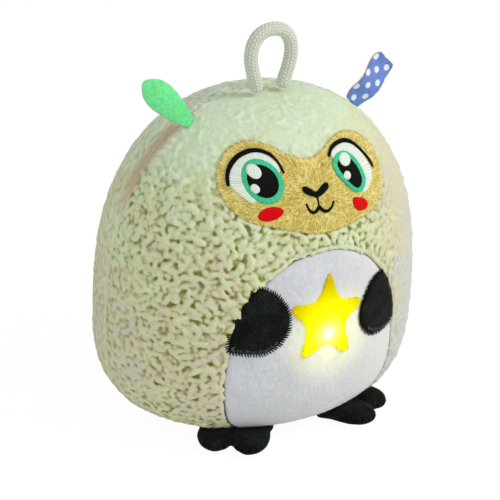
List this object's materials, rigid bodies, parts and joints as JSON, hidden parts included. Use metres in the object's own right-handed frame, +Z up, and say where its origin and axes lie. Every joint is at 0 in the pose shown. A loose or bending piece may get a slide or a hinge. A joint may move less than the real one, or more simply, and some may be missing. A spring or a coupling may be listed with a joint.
{
  "type": "plush night light",
  "caption": "Egg-shaped stuffed sheep night light with embroidered face, ribbon ears, rope loop, hoof feet and a star on its belly that lights when pressed.",
  "frame": {"origin": "middle of the flat base that the toy sits on, at floor level", "axes": "+Z up through the crown to the hanging loop; the face and the star look along -Y; the sheep's left is at +X"},
  "size_m": [0.182, 0.1479, 0.2201],
  "materials": {
    "cream_fleece": "matte",
    "white_plush": "matte",
    "tan_plush": "matte",
    "black_plush": "matte",
    "black_thread": "satin",
    "white_thread": "satin",
    "green_thread": "satin",
    "red_thread": "satin",
    "star_cloth": "matte",
    "green_ribbon": "satin",
    "blue_ribbon": "satin",
    "pink_ribbon": "satin",
    "cream_rope": "matte",
    "polyester_filling": "matte",
    "white_plastic": "satin",
    "clear_plastic": "gloss",
    "black_plastic": "satin",
    "board_green": "satin",
    "plated_steel": "satin",
    "cell_wrap": "satin",
    "pouch_cloth": "matte",
    "tape_cloth": "matte"
  },
  "bodies": {
    "body": {"arm_left": "black_plush", "arm_right": "black_plush", "battery_cell_1": "cell_wrap", "battery_cell_2": "cell_wrap", "battery_cell_3": "cell_wrap", "battery_lid": "white_plastic", "battery_lid_screw": "plated_steel", "battery_pouch": "pouch_cloth", "battery_spring_1": "plated_steel", "battery_spring_2": "plated_steel", "battery_spring_3": "plated_steel", "battery_tray": "white_plastic", "belly_panel": "white_plush", "cheek_left": "red_thread", "cheek_right": "red_thread", "closure_hook_tape": "tape_cloth", "contact_bridge_high": "plated_steel", "contact_bridge_low": "plated_steel", "contact_end_high": "plated_steel", "contact_end_low": "plated_steel", "eye_white_left": "white_thread", "eye_white_right": "white_thread", "face_patch": "tan_plush", "fleece_back": "cream_fleece", "fleece_front": "cream_fleece", "highlight_lower_left": "white_thread", "highlight_lower_right": "white_thread", "highlight_upper_left": "white_thread", "highlight_upper_right": "white_thread", "iris_left": "green_thread", "iris_right": "green_thread", "lash_left": "black_thread", "lash_right": "black_thread", "lead": "black_plastic", "light_board": "board_green", "light_cover": "clear_plastic", "light_diode_1": "clear_plastic", "light_diode_2": "clear_plastic", "light_diode_3": "clear_plastic", "light_housing": "white_plastic", "light_screw_left": "plated_steel", "light_screw_right": "plated_steel", "mouth": "black_thread", "nose": "black_thread", "pupil_left": "black_thread", "pupil_right": "black_thread", "star_patch": "star_cloth", "stuffing": "polyester_filling", "switch_body": "black_plastic"},
    "right_ear": {"ear_ribbon_right": "green_ribbon", "ear_backing_right": "pink_ribbon"},
    "left_ear": {"ear_ribbon_left": "blue_ribbon", "ear_backing_left": "pink_ribbon"},
    "loop": {"hanging_loop": "cream_rope"},
    "right_foot": {"foot_right": "black_plush"},
    "left_foot": {"foot_left": "black_plush"},
    "flap": {"access_flap": "cream_fleece", "closure_loop_tape": "tape_cloth"},
    "button": {"light_button": "clear_plastic", "switch_plunger": "white_plastic"}
  },
  "joints": [
    {"name": "right_ear_hinge", "type": "hinge", "parent": "body", "child": "right_ear", "pos_m": [-0.046, -0.006, 0.17124], "axis": [0.6884, 0, 0.7254], "range_deg": [-35, 35], "stiffness_Nm_per_rad": 0.01},
    {"name": "left_ear_hinge", "type": "hinge", "parent": "body", "child": "left_ear", "pos_m": [0.05315, -0.006, 0.16673], "axis": [-0.6884, 0, 0.7254], "range_deg": [-35, 35], "stiffness_Nm_per_rad": 0.01},
    {"name": "loop_hinge", "type": "hinge", "parent": "body", "child": "loop", "pos_m": [0, -0.007, 0.18256], "axis": [1, 0, 0], "range_deg": [-45, 45], "stiffness_Nm_per_rad": 0.02},
    {"name": "right_foot_hinge", "type": "hinge", "parent": "body", "child": "right_foot", "pos_m": [-0.02797, -0.03581, 0.0027], "axis": [-0.788, 0.6157, 0], "range_deg": [-35, 0], "stiffness_Nm_per_rad": 0.02},
    {"name": "left_foot_hinge", "type": "hinge", "parent": "body", "child": "left_foot", "pos_m": [0.02797, -0.03581, 0.0027], "axis": [-0.788, -0.6157, 0], "range_deg": [-35, 0], "stiffness_Nm_per_rad": 0.02},
    {"name": "flap_hinge", "type": "hinge", "parent": "body", "child": "flap", "pos_m": [0, 0.07238, 0.09466], "axis": [1, 0, 0], "range_deg": [0, 110]},
    {"name": "button_slide", "type": "slide", "parent": "body", "child": "button", "axis": [0, 1, 0], "range_m": [0, 0.0015], "stiffness_N_per_m": 1500}
  ]
}
